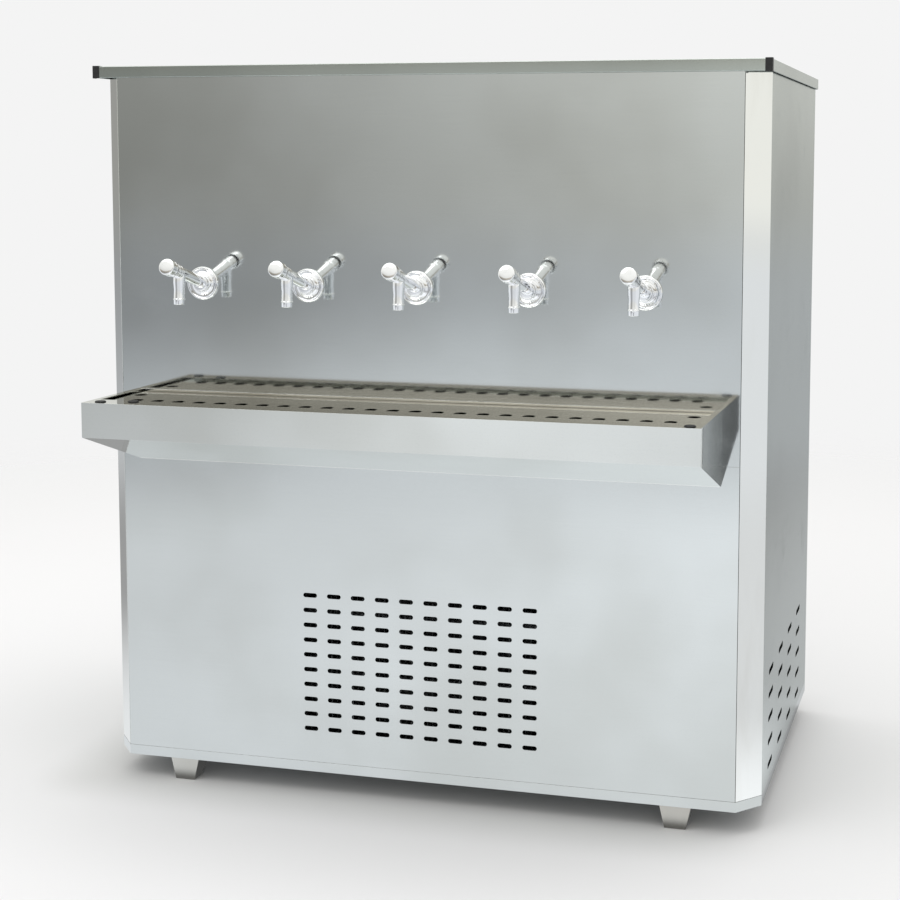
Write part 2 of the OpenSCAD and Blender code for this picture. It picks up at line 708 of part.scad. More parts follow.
module float_arm() color(copper) placed() {
    drop = 36;
    tip = [inlet_x, pivot_y - float_l, pivot_z - drop];
    a = unit(tip - [inlet_x, pivot_y, pivot_z]);
    u = side_of(a);
    rod_x(pin_r, pivot_y, pivot_z, inlet_x - 14, inlet_x + 14);
    rod_x(5, pivot_y, pivot_z, inlet_x - 5, inlet_x + 5);
    multmatrix(seat(u, cross(a, u), a, [inlet_x, pivot_y, pivot_z])) cylinder(r = 2.5, h = norm(tip - [inlet_x, pivot_y, pivot_z]));
    translate(tip) sphere(r = float_r);
}

// ---- Cooling unit ----
comp_x = half_w - 250;
comp_y = body_d - 230;
comp_z = floor_z + 26;
port_x = 30;                         // tube stubs, either side of the shell's middle
stub_h = 12;                         // height of the stubs above the shell

module compressor() color(black) placed() translate([comp_x, comp_y, comp_z]) {
    rotate_extrude() polygon([
        [0, 6], [comp_r - 20, 6], [comp_r - 4, 24], [comp_r, 46], [comp_r, comp_h - 74],
        [comp_r + 3, comp_h - 72], [comp_r + 3, comp_h - 64], [comp_r, comp_h - 62],
        [comp_r - 3, comp_h - 36], [comp_r - 18, comp_h - 12], [comp_r - 40, comp_h - 2], [0, comp_h]
    ]);
    // mounting plate with four eyes
    difference() {
        block([-comp_r - 14, -comp_r + 4, 0], [comp_r + 14, comp_r - 4, 6.5]);
        for (s = ends, q = ends) translate([s * comp_r, q * (comp_r - 24), -1]) cylinder(r = 8 + gap, h = 10);
    }
    // stubs that the refrigerant tubes are brazed to
    for (s = ends) translate([s * port_x, 0, comp_h - 8]) cylinder(r = tube_r + 1.5, h = 8 + stub_h);
    block([-18, -comp_r - 22, 60], [34, -comp_r + 20, 112]);
}

module compressor_mounts() color(dark) placed() translate([comp_x, comp_y, 0])
    for (s = ends, q = ends) translate([s * comp_r, q * (comp_r - 24), floor_z + gap]) {
        cylinder(r = 14, h = comp_z - floor_z - 2 * gap);
        cylinder(r = 8, h = comp_z - floor_z + 12);
        translate([0, 0, comp_z - floor_z + 6.5 + gap]) cylinder(r = 13, h = 5);
    }

cond_y = 34;
cond_z = floor_z + 34;
fan_z = cond_z + cond_h / 2;
shroud_y = cond_y + cond_d + gap;
shroud_d = 46;
blade_y = shroud_y + shroud_d - 22;
motor_y = blade_y + 34;
fan_shaft_r = 4;
hub_r = 24;

module condenser() color(dark) placed() {
    fin_gap = 10;
    fins = floor((cond_w - 8) / fin_gap);
    // fins on a thin core, end plates and header bends
    for (i = [0 : fins]) let (x = -cond_w / 2 + 4 + i * (cond_w - 8) / fins)
        block([x - 0.6, cond_y, cond_z], [x + 0.6, cond_y + cond_d, cond_z + cond_h]);
    for (s = ends) block([s * cond_w / 2 - (s > 0 ? 1.5 : 0), cond_y, cond_z],
                         [s * cond_w / 2 + (s > 0 ? 0 : 1.5), cond_y + cond_d, cond_z + cond_h]);
    for (k = [0 : 7]) rod_x(tube_r, cond_y + cond_d / 2, cond_z + cond_h * (k + 0.5) / 8,
                            -cond_w / 2 - 6, cond_w / 2 + 6);
    for (s = ends) block([s * (cond_w / 2 - 20) - 15, cond_y + 8, floor_z + gap],
                         [s * (cond_w / 2 - 20) + 15, cond_y + cond_d - 8, cond_z + eps]);
}

module fan_shroud() color(galv) placed() difference() {
    union() {
        difference() {
            block([-cond_w / 2, shroud_y, cond_z], [cond_w / 2, shroud_y + shroud_d, cond_z + cond_h]);
            block([-cond_w / 2 + 1.5, shroud_y - 1, cond_z + 1.5],
                  [cond_w / 2 - 1.5, shroud_y + shroud_d - 1.5, cond_z + cond_h - 1.5]);
        }
        rod_y(fan_r + 5, 0, fan_z, shroud_y + shroud_d - 1.5, shroud_y + shroud_d + 14);
    }
    rod_y(fan_r + 3.5, 0, fan_z, shroud_y + 4, shroud_y + shroud_d + 20);
}

module fan_motor() color(dark) placed() {
    difference() {
        union() {
            rod_y(34, 0, fan_z, motor_y, motor_y + 62);
            rod_y(12, 0, fan_z, motor_y - 8, motor_y);
        }
        rod_y(fan_shaft_r + 0.06, 0, fan_z, motor_y - 9, motor_y + 30);
    }
    // three-legged bracket on the shroud
    for (a = [90, 210, 330]) translate([0, motor_y + 22, fan_z]) rotate([0, a, 0]) {
        translate([32, -3, -7]) cube([fan_r - 22, 4, 14]);
        translate([fan_r + 6, motor_arm, -7]) cube([4, 1 - motor_arm, 14]);
    }
}
motor_arm = shroud_y + shroud_d + gap - motor_y - 22;

module fan_blades() color([0.75, 0.76, 0.78]) placed() {
    rod_y(hub_r, 0, fan_z, blade_y - 9, blade_y + 13);
    rod_y(fan_shaft_r, 0, fan_z, blade_y, motor_y + 26);
    for (k = [0 : 4]) translate([0, blade_y, fan_z]) rotate([0, k * 72, 0])
        translate([hub_r - 4, 0, 0]) rotate([28, 0, 0]) linear_extrude(2, center = true) polygon([
            [0, -11], [fan_r * 0.45, -20], [fan_r * 0.74, -25], [fan_r - hub_r, -20],
            [fan_r - hub_r + 3, 0], [fan_r - hub_r, 16], [fan_r * 0.45, 18], [0, 11]
        ]);
}

drier_x = drain_x + drain_r + 20;    // beside the drain pipe, clear of it
drier_y = coil_ports[0].y;
drier_z = floor_z + 120;
module filter_drier() color(copper) placed() translate([drier_x, drier_y, drier_z]) {
    rotate_extrude() polygon([[0, 0], [4.9, 0], [4.9, 10], [15, 24], [15, 116], [4.9, 130], [4.9, 140], [0, 140]]);
}

module refrigerant_pipes() color(copper) placed() {
    port_z = comp_z + comp_h + stub_h + gap;
    top = port_z + 34;
    // compressor discharge to the condenser's top
    tube_run([[comp_x + port_x, comp_y, port_z], [comp_x + port_x, comp_y, top],
              [comp_x + port_x, 110, top], [cond_w / 2 + 40, 110, top],
              [cond_w / 2 + 40, cond_y + cond_d / 2, top],
              [cond_w / 2 + 40, cond_y + cond_d / 2, cond_z + cond_h * 7.5 / 8],
              [cond_w / 2 + 6 + gap, cond_y + cond_d / 2, cond_z + cond_h * 7.5 / 8]], tube_r, 16);
    // condenser's foot to the drier
    low = cond_z + cond_h / 16;
    tube_run([[cond_w / 2 + 6 + gap, cond_y + cond_d / 2, low], [drier_x, cond_y + cond_d / 2, low],
              [drier_x, drier_y, low], [drier_x, drier_y, drier_z - gap]], tube_r, 16);
    // drier to the coil, and the coil back to the compressor
    tube_run([[drier_x, drier_y, drier_z + 140 + gap], [drier_x, drier_y, deck_z - 90],
              [coil_ports[0].x, drier_y, deck_z - 90],
              [coil_ports[0].x, drier_y, deck_z - 40 - gap]], 3, 16);
    tube_run([[comp_x - port_x, comp_y, port_z], [comp_x - port_x, comp_y, deck_z - 150],
              [coil_ports[1].x, comp_y, deck_z - 150],
              [coil_ports[1].x, coil_ports[1].y, deck_z - 150],
              [coil_ports[1].x, coil_ports[1].y, deck_z - 40 - gap]], tube_r, 16);
}

// ---- Electrical ----
module terminal_box() color(dark) placed() {
    y1 = body_d - sheet - gap;
    difference() {
        block([box_x - box_w / 2, y1 - box_d, box_z - box_h / 2], [box_x + box_w / 2, y1, box_z + box_h / 2]);
        block([box_x - box_w / 2 + 2.5, y1 - box_d + 2.5, box_z - box_h / 2 + 2.5],
              [box_x + box_w / 2 - 2.5, y1 - 2.5, box_z + box_h / 2 - 2.5]);
        rod_y(knob_shaft_r + 0.06, knob_x, box_z, y1 - 30, y1 + 1);
        block([rocker_x - rocker_w / 2 - gap, y1 - 20, box_z - rocker_h / 2 - gap],
              [rocker_x + rocker_w / 2 + gap, y1 + 1, box_z + rocker_h / 2 + gap]);
    }
    // thermostat body behind the knob
    difference() {
        rod_y(17, knob_x, box_z, y1 - 34, y1 - 2.5 + eps);
        rod_y(knob_shaft_r + 0.06, knob_x, box_z, y1 - 28, y1 + 1);
    }
    // ears that hold the rocker's pin
    for (s = ends) difference() {
        block([rocker_x + s * (rocker_w / 2 + 2.5) - 2, y1 - 16, box_z - 7],
              [rocker_x + s * (rocker_w / 2 + 2.5) + 2, y1 - 2.5 + eps, box_z + 7]);
        rod_x(2 + 0.06, y1 - 8, box_z, rocker_x - rocker_w, rocker_x + rocker_w);
    }
}

module thermostat_knob() color(black) placed() difference() {
    union() {
        rod_y(knob_shaft_r, knob_x, box_z, body_d - sheet - gap - 26, body_d + 4);
        translate([knob_x, body_d + 1, box_z]) rotate([-90, 0, 0]) cylinder(r1 = 19, r2 = 17, h = 15);
    }
    block([knob_x - 1, body_d + 14.5, box_z + 4], [knob_x + 1, body_d + 17, box_z + 20]);
}

module rocker_switch() color(black) placed() {
    y = body_d - sheet - gap - 8;
    difference() {
        block([rocker_x - rocker_w / 2, y - 5, box_z - rocker_h / 2 + 2], [rocker_x + rocker_w / 2, y + 15, box_z + rocker_h / 2 - 2]);
        // the face dips in the middle
        rod_x(46, y + 57, box_z, rocker_x - rocker_w, rocker_x + rocker_w);
    }
    rod_x(2, y, box_z, rocker_x - rocker_w / 2 - 4, rocker_x + rocker_w / 2 + 4);
}

module cable_gland() color(black) placed() difference() {
    union() {
        rod_y(gland_r, gland_x, gland_z, body_d - sheet - 12, body_d + 12);
        translate([gland_x, body_d + gap, gland_z]) rotate([-90, 0, 0]) cylinder(r = 14, h = 6, $fn = 6);
        translate([gland_x, body_d - sheet - gap - 5, gland_z]) rotate([-90, 0, 0]) cylinder(r = 14, h = 5, $fn = 6);
        translate([gland_x, body_d + 6, gland_z]) rotate([-90, 0, 0]) cylinder(r1 = 12, r2 = 9, h = 14);
    }
    rod_y(4.5, gland_x, gland_z, body_d - sheet - 14, body_d + 24);
}

// Dome-headed screws of the back panel
module panel_screws() color(bright) placed()
    for (s = ends, k = [0 : 4]) let (z = panel_z + 60 + k * (lid_z - panel_z - 120) / 4)
        translate([s * (inner_x - 16), body_d + 0.05, z]) rotate([-90, 0, 0])
            rotate_extrude() polygon([[0, 0], [4.6, 0], [4.2, 1.4], [2.6, 2.4], [0, 2.6]]);

// ---- Taps: each is drawn about its own flange's middle, forwards is -Y ----
module at_tap(i) placed() translate([(i - 2) * tap_pitch, 0, tap_z]) children();
// Turns +Z to the barrel's direction
module along_barrel() rotate([90 - tap_tilt, 0, 0]) children();

seal_l = button_travel + 1.5;        // rubber seal between the head and the cap
cap_s = head_s + seal_l;             // the cap's open end
bore_r = button_r - 1.5;             // inside of the cap
seal_r = bore_r - 0.5;
stem_r = 3;
cap_wall = 5;
collar_r = barrel_r + 3;             // the flange fits round this collar

module tap_flanges() color(chrome) for (i = taps) at_tap(i) rotate([90, 0, 0]) difference() {
    translate([0, 0, gap]) rotate_extrude() polygon([
        [0, 0], [flange_r, 0], [flange_r, 2], [flange_r - 1.2, 3.6], [flange_r - 4, 4.4],
        [flange_r - 8, 4.6], [barrel_r + 7, 6.6], [barrel_r + 5, 9.5], [0, 9.5]
    ]);
    translate([0, 0, -1]) cylinder(r = collar_r + gap, h = 20);
}

module tap_body(i) color(chrome) at_tap(i) difference() {
    union() {
        // collar and threaded shank through the panel
        rotate([90, 0, 0]) translate([0, 0, gap]) cylinder(r = collar_r, h = 14);
        rotate([-90, 0, 0]) translate([0, 0, -1]) cylinder(r = shank_r, h = manifold_y - 8);
        // barrel with its head
        along_barrel() rotate_extrude() polygon([
            [0, 6], [barrel_r, 6], [barrel_r, head_s - 27], [head_r, head_s - 23],
            [head_r, head_s - 1.2], [head_r - 1.2, head_s], [0, head_s]
        ]);
        // spout
        translate([0, -spout_y, 0]) rotate([-spout_lean, 0, 0]) {
            translate([0, 0, -spout_drop]) cylinder(r = spout_r, h = spout_drop + spout_y * sin(tap_tilt));
            translate([0, 0, -spout_drop + 8]) cylinder(r = spout_r + 0.8, h = 3);
        }
    }
    along_barrel() translate([0, 0, head_s - 24]) cylinder(r = stem_r + 0.05, h = 26);
    translate([0, -spout_y, 0]) rotate([-spout_lean, 0, 0]) translate([0, 0, -spout_drop - 1])
        cylinder(r = spout_r - 2.2, h = spout_drop);
    rotate([-90, 0, 0]) translate([0, 0, -10]) cylinder(r = shank_r - 3, h = manifold_y + 10);
}
module tap_body_1() tap_body(0);
module tap_body_2() tap_body(1);
module tap_body_3() tap_body(2);
module tap_body_4() tap_body(3);
module tap_body_5() tap_body(4);

module tap_seals() color(black) for (i = taps) at_tap(i) along_barrel()
    translate([0, 0, head_s + 0.05]) difference() {
        cylinder(r = seal_r, h = seal_l - 0.4);
        translate([0, 0, -1]) cylinder(r = stem_r + 6, h = seal_l + 2);
    }

module tap_locknuts() color(galv) for (i = taps) at_tap(i) rotate([-90, 0, 0]) difference() {
    translate([0, 0, sheet + gap]) cylinder(r = shank_r + 6, h = 7, $fn = 6);
    cylinder(r = shank_r + 0.1, h = 12);
}

module tap_button(i) color(chrome) at_tap(i) along_barrel() {
    top = cap_s + button_l;
    difference() {
        rotate_extrude() polygon([
            [0, cap_s], [button_r - 0.5, cap_s], [button_r, cap_s + 0.6], [button_r, top - 4],
            [button_r - 0.8, top - 1.8], [button_r - 2.8, top - 0.6], [button_r - 6, top - 0.1], [0, top]
        ]);
        translate([0, 0, cap_s - 1]) cylinder(r = bore_r, h = button_l - cap_wall + 1);
    }
    translate([0, 0, head_s - 18]) cylinder(r = stem_r, h = seal_l + button_l - cap_wall + 18 + eps);
}
module tap_button_1() tap_button(0);
module tap_button_2() tap_button(1);
module tap_button_3() tap_button(2);
module tap_button_4() tap_button(3);
module tap_button_5() tap_button(4);

// Return spring between the head and the cap's inner face
module tap_spring(i) color(galv) at_tap(i) along_barrel() {
    turns = 4;
    steps = 14;
    sides = 6;
    wire = 0.55;
    coil = stem_r + 3;
    z0 = head_s + wire + gap;
    z1 = cap_s + button_l - cap_wall - wire - gap;
    n = turns * steps;
    ring = [for (k = [0 : n]) let (a = 360 * k / steps, z = z0 + (z1 - z0) * k / n)
        [for (m = [0 : sides - 1]) let (b = 360 * m / sides)
            [(coil + wire * cos(b)) * cos(a), (coil + wire * cos(b)) * sin(a), z + wire * sin(b)]]];
    polyhedron(
        points = [for (r = ring) for (p = r) p],
        faces = concat(
            [[for (m = [0 : sides - 1]) m]],
            [for (k = [0 : n - 1], m = [0 : sides - 1]) let (q = (m + 1) % sides)
                [k * sides + m, (k + 1) * sides + m, (k + 1) * sides + q, k * sides + q]],
            [[for (m = [sides - 1 : -1 : 0]) n * sides + m]]
        )
    );
}
module tap_spring_1() tap_spring(0);
module tap_spring_2() tap_spring(1);
module tap_spring_3() tap_spring(2);
module tap_spring_4() tap_spring(3);
module tap_spring_5() tap_spring(4);

base_frame();
foot_front_left();
foot_front_right();
foot_rear_left();
foot_rear_right();
front_panel_upper();
front_panel_lower();
corner_trim_left();
corner_trim_right();
side_panel_left();
side_panel_right();
back_panel();
top_lid();
lid_corner_caps();
frame_posts();
tank_deck();
drip_tray();
drain_plate();
tray_plugs();
drain_pipe();
water_tank();
tank_cover();
insulation_jacket();
evaporator_coil();
supply_manifold();
float_valve();
float_arm();
compressor();
compressor_mounts();
condenser();
fan_shroud();
fan_motor();
fan_blades();
filter_drier();
refrigerant_pipes();
thermostat_knob();
rocker_switch();
terminal_box();
cable_gland();
inlet_fitting();
panel_screws();
tap_flanges();
tap_seals();
tap_locknuts();
tap_body_1();
tap_body_2();
tap_body_3();
tap_body_4();
tap_body_5();
tap_button_1();
tap_button_2();
tap_button_3();
tap_button_4();
tap_button_5();
tap_spring_1();
tap_spring_2();
tap_spring_3();
tap_spring_4();
tap_spring_5();
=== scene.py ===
import json
import math
import bmesh
import bpy
from mathutils import Matrix, Vector


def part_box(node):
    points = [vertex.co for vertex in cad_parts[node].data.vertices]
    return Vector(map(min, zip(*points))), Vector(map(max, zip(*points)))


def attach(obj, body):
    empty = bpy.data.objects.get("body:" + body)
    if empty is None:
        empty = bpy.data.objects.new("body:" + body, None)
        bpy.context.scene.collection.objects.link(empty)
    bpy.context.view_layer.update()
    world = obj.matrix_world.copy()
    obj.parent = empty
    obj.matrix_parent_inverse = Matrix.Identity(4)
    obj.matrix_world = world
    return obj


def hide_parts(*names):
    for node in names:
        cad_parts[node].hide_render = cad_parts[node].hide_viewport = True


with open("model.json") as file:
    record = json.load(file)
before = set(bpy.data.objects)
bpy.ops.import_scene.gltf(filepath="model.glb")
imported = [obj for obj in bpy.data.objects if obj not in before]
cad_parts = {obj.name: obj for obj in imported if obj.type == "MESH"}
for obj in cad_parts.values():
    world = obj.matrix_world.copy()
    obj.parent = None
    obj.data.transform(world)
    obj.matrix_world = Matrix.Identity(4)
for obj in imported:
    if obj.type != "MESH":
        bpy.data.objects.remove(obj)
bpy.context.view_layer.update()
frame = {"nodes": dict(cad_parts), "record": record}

nodes = frame["nodes"]
record = frame["record"]
slotOf = {row["node"]: row["material_slot"] for row in record["subparts"]}
bodyOf = {node: body for body, members in record["behaviour"]["bodies"].items() for node in members}
print("frame loaded:", len(nodes), "nodes")


class Sock:  # a socket that Python's own operators work on
    def __init__(self, graph, socket):
        self.graph = graph
        self.socket = socket

    def maths(self, operation, first, second=None):
        values = {0: first} if second is None else {0: first, 1: second}
        return self.graph.node("ShaderNodeMath", {"operation": operation}, values)

    def __add__(self, other):
        return self.maths("ADD", self, other)

    def __radd__(self, other):
        return self.maths("ADD", other, self)

    def __sub__(self, other):
        return self.maths("SUBTRACT", self, other)

    def __rsub__(self, other):
        return self.maths("SUBTRACT", other, self)

    def __mul__(self, other):
        return self.maths("MULTIPLY", self, other)

    def __rmul__(self, other):
        return self.maths("MULTIPLY", other, self)

    def __pow__(self, other):
        return self.maths("POWER", self, other)

    def __neg__(self):
        return self.maths("MULTIPLY", self, -1.0)

    def __abs__(self):
        return self.maths("ABSOLUTE", self)

    def beyond(self, limit):  # how far past the limit, and 0 before it
        return self.maths("MAXIMUM", self - limit, 0.0)

    def step(self, low, high):  # 0 at low, 1 at high, smooth between
        ranges = {"Value": self, "From Min": low, "From Max": high}
        return self.graph.node("ShaderNodeMapRange", {"interpolation_type": "SMOOTHSTEP"}, ranges)

    def ramp(self, low, high, amount):  # 0 at low, the amount at high
        return self.step(low, high) * amount


class Graph:  # the nodes of one material, or of the world
    def __init__(self, owner):
        owner.use_nodes = True
        self.tree = owner.node_tree
        self.tree.nodes.clear()

    def node(self, kind, settings=None, values=None, output=0):
        made = self.tree.nodes.new(kind)
        for name, value in (settings or {}).items():
            setattr(made, name, value)
        for name, value in (values or {}).items():
            if isinstance(value, Sock):
                self.tree.links.new(value.socket, made.inputs[name])
            else:
                made.inputs[name].default_value = value
        return Sock(self, made.outputs[output]) if len(made.outputs) else None

    def axis(self, name, source="Object"):
        where = self.node("ShaderNodeTexCoord", output=source)
        return self.node("ShaderNodeSeparateXYZ", {}, {0: where}, output=name)

    def grain(self, scale, detail=2.0, stretch=(1, 1, 1), roughness=0.5):
        where = self.node("ShaderNodeTexCoord", output="Object")
        place = self.node("ShaderNodeMapping", {}, {"Vector": where, "Scale": stretch})
        values = {"Vector": place, "Scale": scale, "Detail": detail, "Roughness": roughness}
        return self.node("ShaderNodeTexNoise", {}, values)

    def mix(self, factor, first, second):
        return self.node("ShaderNodeMix", {"data_type": "RGBA"}, {0: factor, 6: first, 7: second}, output=2)

    def bump(self, height, strength, distance):
        return self.node("ShaderNodeBump", {}, {"Height": height, "Strength": strength, "Distance": distance})

    def finish(self, values):
        shader = self.node("ShaderNodeBsdfPrincipled", {}, values)
        self.node("ShaderNodeOutputMaterial", {}, {"Surface": shader})


def linear(r, g, b):  # a screen colour, 0 to 255, as the linear one that shaders take
    def one(v):
        v = v / 255
        return v / 12.92 if v <= 0.04045 else ((v + 0.055) / 1.055) ** 2.4
    return (one(r), one(g), one(b), 1.0)


def newMaterial(name):
    material = bpy.data.materials.new(name)
    return material, Graph(material)


# satin sheet: tint, darker cloud, roughness, strength of the grain, waviness of the sheet, and
# how the grain's lines are drawn out along each axis
sheetLook = {
    "front": {"tint": linear(214, 218, 218), "cloud": linear(198, 201, 199), "rough": 0.065,
              "grain": 0.035, "wave": 0.0011, "run": (1.5, 60, 260)},
    "side": {"tint": linear(196, 203, 199), "cloud": linear(180, 187, 183), "rough": 0.20,
             "grain": 0.06, "wave": 0.0009, "run": (60, 1.5, 260)},
    "tray": {"tint": linear(234, 236, 233), "cloud": linear(216, 217, 212), "rough": 0.035,
             "grain": 0.02, "wave": 0.0005, "run": (1.5, 60, 260)},
    "foot": {"tint": linear(206, 205, 200), "cloud": linear(176, 172, 164), "rough": 0.20,
             "grain": 0.05, "wave": 0.0004, "run": (60, 260, 1.5)},
}


def sheetSteel(name):
    look = sheetLook[name]
    material, g = newMaterial(name + "Steel")
    lines = g.grain(6, 3, look["run"], 0.6)
    fleck = g.grain(420, 2)
    cloud = g.grain(2.3, 3)
    smear = g.grain(7, 5, (1, 1, 1.8), 0.62)
    wave = g.grain(1.7, 1)
    shade = g.mix(cloud.step(0.35, 0.7), look["tint"], look["cloud"])
    shade = g.mix(lines.step(0.35, 0.65) * look["grain"] + fleck.step(0.5, 0.8) * 0.05, shade,
                  (0.36, 0.37, 0.37, 1))
    height = wave * look["wave"] + lines * 0.000004 + fleck * 0.0000015
    g.finish({
        "Base Color": shade, "Metallic": 1.0,
        "Roughness": look["rough"] + (lines - 0.5) * look["grain"] + smear.step(0.55, 0.8) * 0.05,
        "Normal": g.bump(height, 1.0, 1.0),
    })
    return material


def mirrorSteel():  # polished strip: a clear reflection with faint hazy wipe marks
    material, g = newMaterial("mirrorSteel")
    wipe = g.grain(9, 4, (1, 1, 0.25), 0.65)
    shade = g.mix(wipe.step(0.45, 0.8) * 0.35, linear(238, 239, 237), linear(206, 203, 196))
    g.finish({
        "Base Color": shade, "Metallic": 1.0, "Roughness": 0.04 + wipe.step(0.5, 0.9) * 0.06,
        "Normal": g.bump(g.grain(3.1, 1, (1, 1, 0.6)), 1.0, 0.0016),
    })
    return material


def chromePlate():
    material, g = newMaterial("tapChrome")
    film = g.grain(70, 4, roughness=0.6)
    shade = g.mix(film.step(0.5, 0.8) * 0.3, linear(244, 245, 247), linear(206, 210, 214))
    g.finish({
        "Base Color": shade, "Metallic": 1.0, "Roughness": 0.04 + film.step(0.45, 0.8) * 0.06,
        "Normal": g.bump(g.grain(160, 2), 0.06, 0.00008),
    })
    return material


def galvanisedSheet():
    material, g = newMaterial("galvanisedSheet")
    where = g.node("ShaderNodeTexCoord", output="Object")
    spangle = g.node("ShaderNodeTexVoronoi", {}, {"Vector": where, "Scale": 90.0}, output="Color")
    flake = g.node("ShaderNodeSeparateXYZ", {}, {0: spangle}, output="X")
    shade = g.mix(flake, linear(150, 155, 158), linear(182, 187, 189))
    g.finish({"Base Color": shade, "Metallic": 0.9, "Roughness": 0.34 + flake * 0.16})
    return material


def copperTube():
    material, g = newMaterial("copperTube")
    stain = g.grain(14, 5, roughness=0.65)
    shade = g.mix(stain.step(0.45, 0.75), linear(205, 128, 88), linear(122, 72, 50))
    g.finish({"Base Color": shade, "Metallic": 1.0, "Roughness": 0.22 + stain * 0.25})
    return material


# moulded, painted and cast finishes: two tones, roughness, size of the fleck, metal, bump
mouldedLook = {
    "black_plastic": (linear(20, 20, 22), linear(33, 33, 35), 0.40, 140, 0.0, 0.00008),
    "black_rubber": (linear(13, 13, 14), linear(26, 26, 27), 0.62, 220, 0.0, 0.00012),
    "black_paint": (linear(17, 17, 19), linear(28, 28, 30), 0.28, 90, 0.0, 0.00006),
    "foam": (linear(226, 210, 160), linear(242, 231, 192), 0.82, 260, 0.0, 0.0006),
    "fin_metal": (linear(126, 130, 132), linear(156, 160, 162), 0.35, 60, 0.9, 0.00005),
    "fan_metal": (linear(188, 191, 193), linear(208, 210, 212), 0.30, 50, 0.9, 0.00004),
    "spring_steel": (linear(150, 152, 155), linear(182, 184, 187), 0.25, 80, 0.9, 0.00003),
}


def moulded(name):
    low, high, rough, scale, metal, height = mouldedLook[name]
    material, g = newMaterial(name)
    fleck = g.grain(scale, 4, roughness=0.6)
    worn = g.grain(6, 2)
    g.finish({
        "Base Color": g.mix(fleck.step(0.35, 0.7), low, high), "Metallic": metal,
        "Roughness": rough + (worn - 0.5) * 0.12, "Normal": g.bump(fleck, 0.4, height),
    })
    return material


finishes = {name: moulded(name) for name in mouldedLook}
finishes.update({name + "_steel": sheetSteel(name) for name in sheetLook})
finishes["mirror_steel"] = mirrorSteel()
finishes["tap_chrome"] = chromePlate()
finishes["galvanised"] = galvanisedSheet()
finishes["copper"] = copperTube()


def dress(obj, slotName):
    obj.data.materials.clear()
    obj.data.materials.append(finishes[slotName])


for nodeName, nodeObject in nodes.items():
    dress(nodeObject, slotOf[nodeName])
print("finishes made:", len(finishes))


def newPiece(name, mesh, node, sharp=30):  # stands for the CAD node, on its body and in its finish
    obj = bpy.data.objects.new(name, mesh)
    bpy.context.scene.collection.objects.link(obj)
    for face in mesh.polygons:
        face.use_smooth = True
    mesh.set_sharp_from_angle(angle=math.radians(sharp))
    dress(obj, slotOf[node])
    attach(obj, bodyOf[node])
    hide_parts(node)
    return obj


def meshFrom(bm, name):
    mesh = bpy.data.meshes.new(name)
    bm.to_mesh(mesh)
    bm.free()
    return mesh


# rounding of an arris: which angles count as one, in degrees, and the flats across it
arris = {"flat": 0.4, "sharp": 35, "segments": 2, "weld": 2e-6}


def eased(name, node, width):  # the CAD solid with its arrises rounded
    bm = bmesh.new()
    bm.from_mesh(nodes[node].data)
    bmesh.ops.remove_doubles(bm, verts=bm.verts, dist=arris["weld"])
    bmesh.ops.dissolve_limit(bm, angle_limit=math.radians(arris["flat"]), verts=bm.verts, edges=bm.edges)
    least = math.radians(arris["sharp"])
    sharp = [e for e in bm.edges if len(e.link_faces) == 2 and e.calc_face_angle(0) > least]
    bmesh.ops.bevel(bm, geom=sharp, offset=width, offset_type="OFFSET", segments=arris["segments"],
                    profile=0.5, affect="EDGES", clamp_overlap=True)
    piece = newPiece(name, meshFrom(bm, name), node)
    piece.modifiers.new("weigh", "WEIGHTED_NORMAL").keep_sharp = True


# piece: the node that it stands for, and the radius of its folds in metres
foldedSheets = {
    "upperFront": ("front_panel_upper", 0.0004), "lowerFront": ("front_panel_lower", 0.0003),
    "leftSide": ("side_panel_left", 0.0003), "rightSide": ("side_panel_right", 0.0003),
    "leftCorner": ("corner_trim_left", 0.0004), "rightCorner": ("corner_trim_right", 0.0004),
    "backSheet": ("back_panel", 0.0003), "lid": ("top_lid", 0.0010), "baseStrip": ("base_frame", 0.0006),
    "tray": ("drip_tray", 0.0006), "drainPlate": ("drain_plate", 0.0003),
    "footFrontLeft": ("foot_front_left", 0.0007), "footFrontRight": ("foot_front_right", 0.0007),
    "footRearLeft": ("foot_rear_left", 0.0007), "footRearRight": ("foot_rear_right", 0.0007),
    "lidCaps": ("lid_corner_caps", 0.0003), "rimPlugs": ("tray_plugs", 0.0003),
    "electricBox": ("terminal_box", 0.0008), "thermostatKnob": ("thermostat_knob", 0.0006),
    "rockerSwitch": ("rocker_switch", 0.0006), "cordGland": ("cable_gland", 0.0005),
    "inletUnion": ("inlet_fitting", 0.0005),
}
for sheetName, (sheetNode, foldRadius) in foldedSheets.items():
    eased(sheetName, sheetNode, foldRadius)
print("sheets eased:", len(foldedSheets))


def arc(cx, cz, radius, start, end, steps=6):  # points round a corner, angles in degrees
    turn = [math.radians(start + (end - start) * k / steps) for k in range(steps + 1)]
    return [(cx + radius * math.cos(a), cz + radius * math.sin(a)) for a in turn]


def lathe(bm, outline, place, segments=72):  # spins (radius, height) points about place's own Z
    rings = []
    for radius, height in outline:
        if radius < 1e-7:
            rings.append([bm.verts.new(place @ Vector((0, 0, height)))])
            continue
        turns = [2 * math.pi * k / segments for k in range(segments)]
        rings.append([bm.verts.new(place @ Vector((radius * math.cos(a), radius * math.sin(a), height)))
                      for a in turns])
    for low, high in zip(rings, rings[1:]):
        for k in range(segments):
            n = (k + 1) % segments
            corners = [low[k % len(low)], low[n % len(low)], high[n % len(high)], high[k % len(high)]]
            corners = [v for i, v in enumerate(corners) if v not in corners[:i]]
            if len(corners) > 2:
                bm.faces.new(corners)


